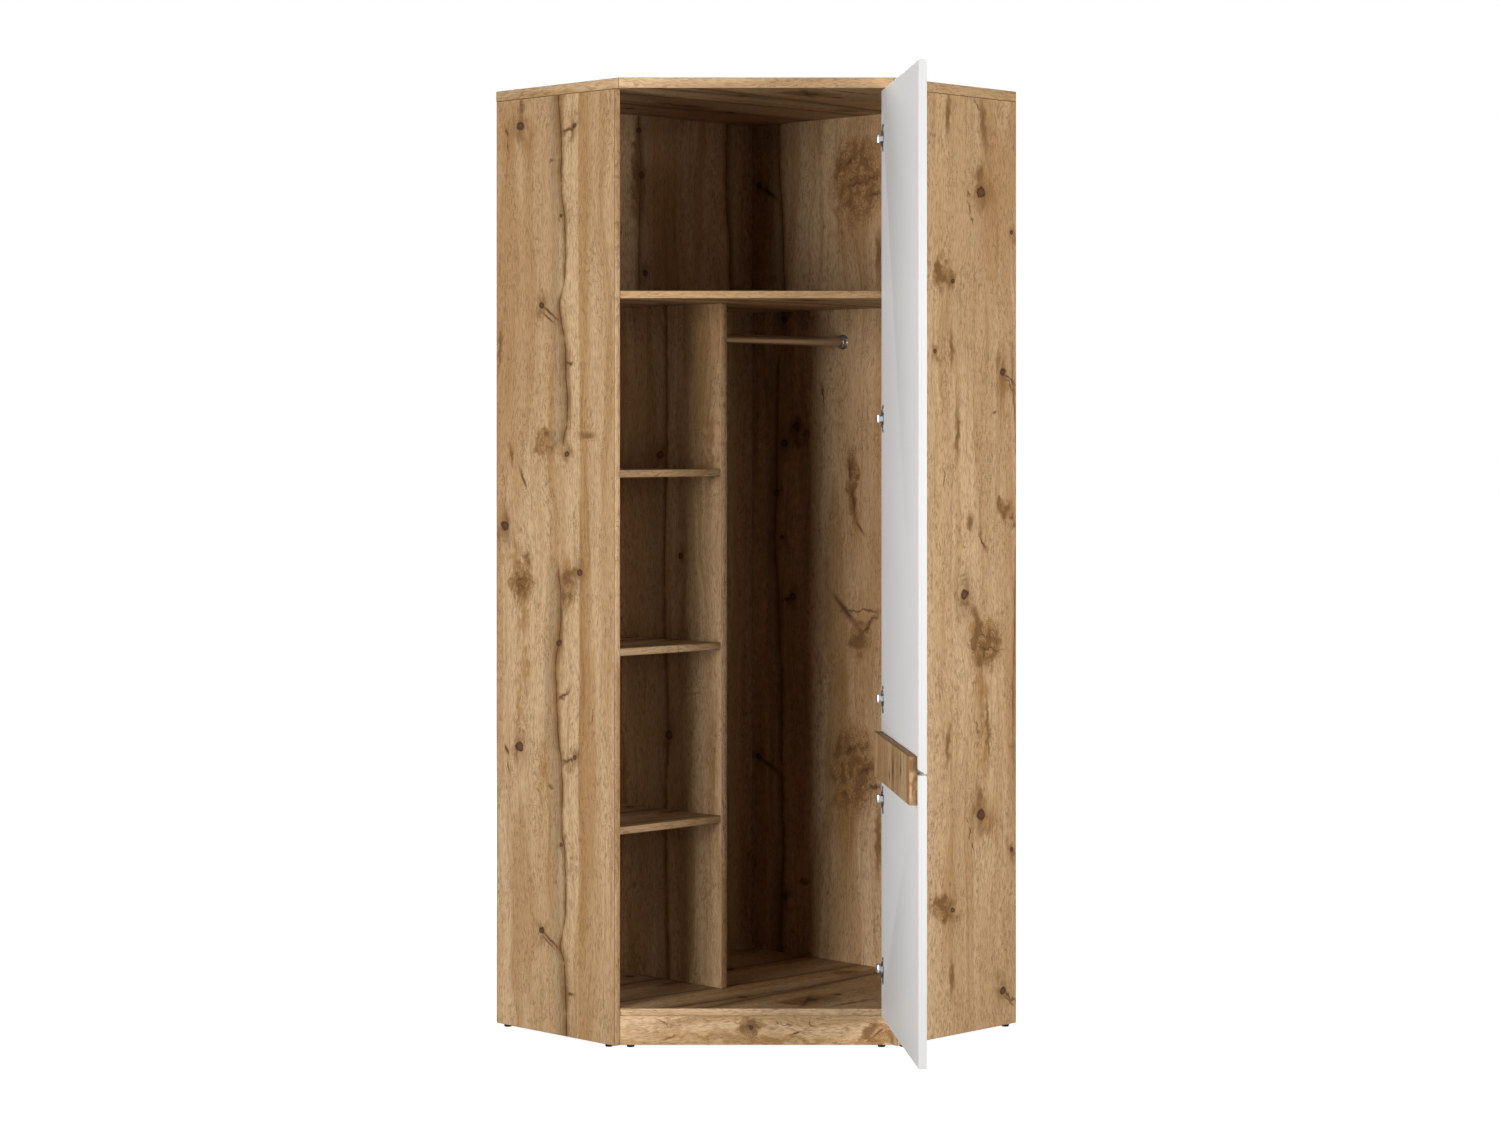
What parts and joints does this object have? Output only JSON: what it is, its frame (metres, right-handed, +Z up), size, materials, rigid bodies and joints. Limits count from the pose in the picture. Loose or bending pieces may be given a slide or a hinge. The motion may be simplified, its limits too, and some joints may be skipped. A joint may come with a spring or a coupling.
{
  "type": "corner wardrobe",
  "caption": "Five-sided wardrobe for a room corner, with a tall hinged door across the corner, side shelves, a hanging rail and a top compartment.",
  "frame": {"origin": "on the floor, under the middle of the box round the wardrobe with its door open", "axes": "+Z up; +Y towards the room wall behind the shelves, +X towards the room wall behind the hanging space; the door looks out along (-1, -1)"},
  "size_m": [0.79, 1.2018, 2.005],
  "materials": {
    "oak_decor": "matt knotty oak decor with an open grain",
    "oak_back_sheet": "printed oak decor on thin fibreboard",
    "white_front": "smooth white foil on board, satin gloss",
    "hinge_steel": "nickel plated, polished",
    "zinc_steel": "zinc plated",
    "rail_metal": "polished metal tube",
    "black_plastic": "moulded, slightly rough"
  },
  "bodies": {
    "carcass": {"left_side": "oak_decor", "right_side": "oak_decor", "top_panel": "oak_decor", "bottom_panel": "oak_decor", "main_shelf": "oak_decor", "front_plinth": "oak_decor", "rear_plinth": "oak_decor", "left_back_sheet": "oak_back_sheet", "right_back_panel": "oak_decor", "partition": "oak_decor", "shelf_lower": "oak_decor", "shelf_middle": "oak_decor", "shelf_upper": "oak_decor", "pin_lower_left_front": "zinc_steel", "pin_lower_left_rear": "zinc_steel", "pin_lower_right_front": "zinc_steel", "pin_lower_right_rear": "zinc_steel", "pin_middle_left_front": "zinc_steel", "pin_middle_left_rear": "zinc_steel", "pin_middle_right_front": "zinc_steel", "pin_middle_right_rear": "zinc_steel", "pin_upper_left_front": "zinc_steel", "pin_upper_left_rear": "zinc_steel", "pin_upper_right_front": "zinc_steel", "pin_upper_right_rear": "zinc_steel", "hanging_rail": "rail_metal", "rail_socket_left": "zinc_steel", "rail_socket_right": "zinc_steel", "glide_left_front": "black_plastic", "glide_left_rear": "black_plastic", "glide_right_front": "black_plastic", "glide_right_rear": "black_plastic", "glide_plinth_left": "black_plastic", "glide_plinth_right": "black_plastic", "glide_back_left": "black_plastic", "glide_back_right": "black_plastic", "glide_right_back": "black_plastic", "hinge_1_arm": "hinge_steel", "hinge_2_arm": "hinge_steel", "hinge_3_arm": "hinge_steel", "hinge_4_arm": "hinge_steel", "hinge_5_arm": "hinge_steel", "hinge_1_plate": "hinge_steel", "hinge_2_plate": "hinge_steel", "hinge_3_plate": "hinge_steel", "hinge_4_plate": "hinge_steel", "hinge_5_plate": "hinge_steel"},
    "door": {"upper_front": "white_front", "lower_front": "white_front", "handle_strip": "oak_decor", "hinge_1_cup": "hinge_steel", "hinge_2_cup": "hinge_steel", "hinge_3_cup": "hinge_steel", "hinge_4_cup": "hinge_steel", "hinge_5_cup": "hinge_steel"}
  },
  "joints": [
    {"name": "door_swing", "type": "hinge", "parent": "carcass", "child": "door", "pos_m": [0.0009, -0.17576, 1], "axis": [0, 0, 1], "range_deg": [-95, 0]}
  ]
}
